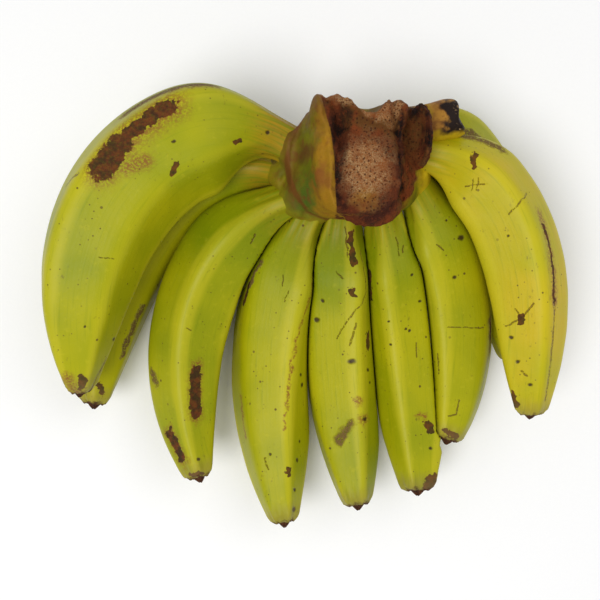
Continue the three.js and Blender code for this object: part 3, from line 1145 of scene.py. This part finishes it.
class BananaStageSettings(bpy.types.PropertyGroup):
    """Camera, floor and light."""

    lens: FloatProperty(name="Lens", description="Camera lens in mm", default=45.0, min=20, max=120)
    camera_height: FloatProperty(
        name="Camera height", description="Camera above the surface in mm", default=420.0)
    floor_size: FloatProperty(
        name="Floor size", description="Side of the floor", default=4.0, unit="LENGTH")
    key_power: FloatProperty(
        name="Key light", description="Power of the main light in watts", default=7.0)
    fill_power: FloatProperty(
        name="Fill light", description="Power of the soft light in watts", default=2.5)
    world_light: FloatProperty(
        name="Room light", description="Strength of the even light all round", default=0.50)


class BananaHandSettings(bpy.types.PropertyGroup):
    """Number, thickness and colours of the fingers."""

    fingers: IntProperty(
        name="Fingers", description="Number of bananas in the hand", default=9, min=1, max=9)
    thickness: FloatProperty(
        name="Thickness", description="Thickness of the bananas against the usual",
        default=1.0, min=0.7, max=1.1, subtype="FACTOR")
    green: colour_property("Green", "Peel at its greenest", DEEP_GREEN)
    yellow_green: colour_property("Yellow-green", "Most of the peel", YELLOW_GREEN)
    yellow: colour_property("Yellow", "Peel at its ripest", RIPE_YELLOW)
    ridge: colour_property("Ridges", "Peel on the ridges", RIDGE_YELLOW)


class BananaCrownSettings(bpy.types.PropertyGroup):
    """Detail and colours of the crown."""

    detail: FloatProperty(
        name="Detail", description="Smallest step on the crown in mm", default=0.8, min=0.5, max=3)
    tan: colour_property("Tan", "Darker fibres of the cut", CUT_TAN)
    pale: colour_property("Pale", "Lighter fibres of the cut", CUT_PALE)
    rust: colour_property("Rust", "Dried edge of the cut", RUST)


class MESH_OT_banana_fingers(bpy.types.Operator):
    """Builds every banana with its neck, peel and blossom end"""

    bl_idname = "mesh.banana_fingers"
    bl_label = "Bananas"

    def execute(self, context):
        look = context.scene.banana_hand
        fingers = grown_fingers(look)
        for finger in fingers:
            others = [other for other in fingers if other is not finger]
            piece = build_finger(finger, others)
            slot = "ripe_skin" if finger.number == 8 else "green_skin"
            finish_piece(piece, f"finger_{finger.number}", skin_material(finger, look))
        return {"FINISHED"}


class MESH_OT_banana_crown(bpy.types.Operator):
    """Builds the cut crown that joins the bananas"""

    bl_idname = "mesh.banana_crown"
    bl_label = "Crown"

    def execute(self, context):
        look = context.scene.banana_crown
        piece = build_crown(grown_fingers(context.scene.banana_hand), look.detail)
        finish_piece(piece, "crown", crown_material(look))
        return {"FINISHED"}


class SCENE_OT_banana_stage(bpy.types.Operator):
    """Sets out the floor, lights and camera"""

    bl_idname = "scene.banana_stage"
    bl_label = "Stage"

    def execute(self, context):
        build_stage(context.scene.banana_stage)
        return {"FINISHED"}


class VIEW3D_PT_bananas(bpy.types.Panel):
    """Lists what builds the hand"""

    bl_label = "Hand of Bananas"
    bl_space_type = "VIEW_3D"
    bl_region_type = "UI"
    bl_category = "Bananas"

    def draw(self, context):
        layout = self.layout
        scene = context.scene
        for group in (scene.banana_hand, scene.banana_crown, scene.banana_stage):
            for name in group.__annotations__:
                layout.prop(group, name)
        for operator in OPERATORS:
            layout.operator(operator.bl_idname)


OPERATORS = (SCENE_OT_banana_stage, MESH_OT_banana_crown, MESH_OT_banana_fingers)
CLASSES = (
    BananaStageSettings, BananaHandSettings, BananaCrownSettings, *OPERATORS, VIEW3D_PT_bananas)


def grown_fingers(settings):
    fingers = []
    for i, facts in enumerate(FINGERS[: settings.fingers]):
        width = facts["width"] * settings.thickness
        depth = facts["depth"] * settings.thickness
        fingers.append(Finger(i + 1, dict(facts, width=width, depth=depth)))
    return fingers


def register():
    for made in CLASSES:
        bpy.utils.register_class(made)
    bpy.types.Scene.banana_stage = PointerProperty(type=BananaStageSettings)
    bpy.types.Scene.banana_hand = PointerProperty(type=BananaHandSettings)
    bpy.types.Scene.banana_crown = PointerProperty(type=BananaCrownSettings)


def unregister():
    del bpy.types.Scene.banana_crown
    del bpy.types.Scene.banana_hand
    del bpy.types.Scene.banana_stage
    for made in reversed(CLASSES):
        bpy.utils.unregister_class(made)


def main():
    register()
    bpy.ops.scene.banana_stage()
    bpy.ops.mesh.banana_crown()
    bpy.ops.mesh.banana_fingers()


if __name__ == "__main__":
    main()
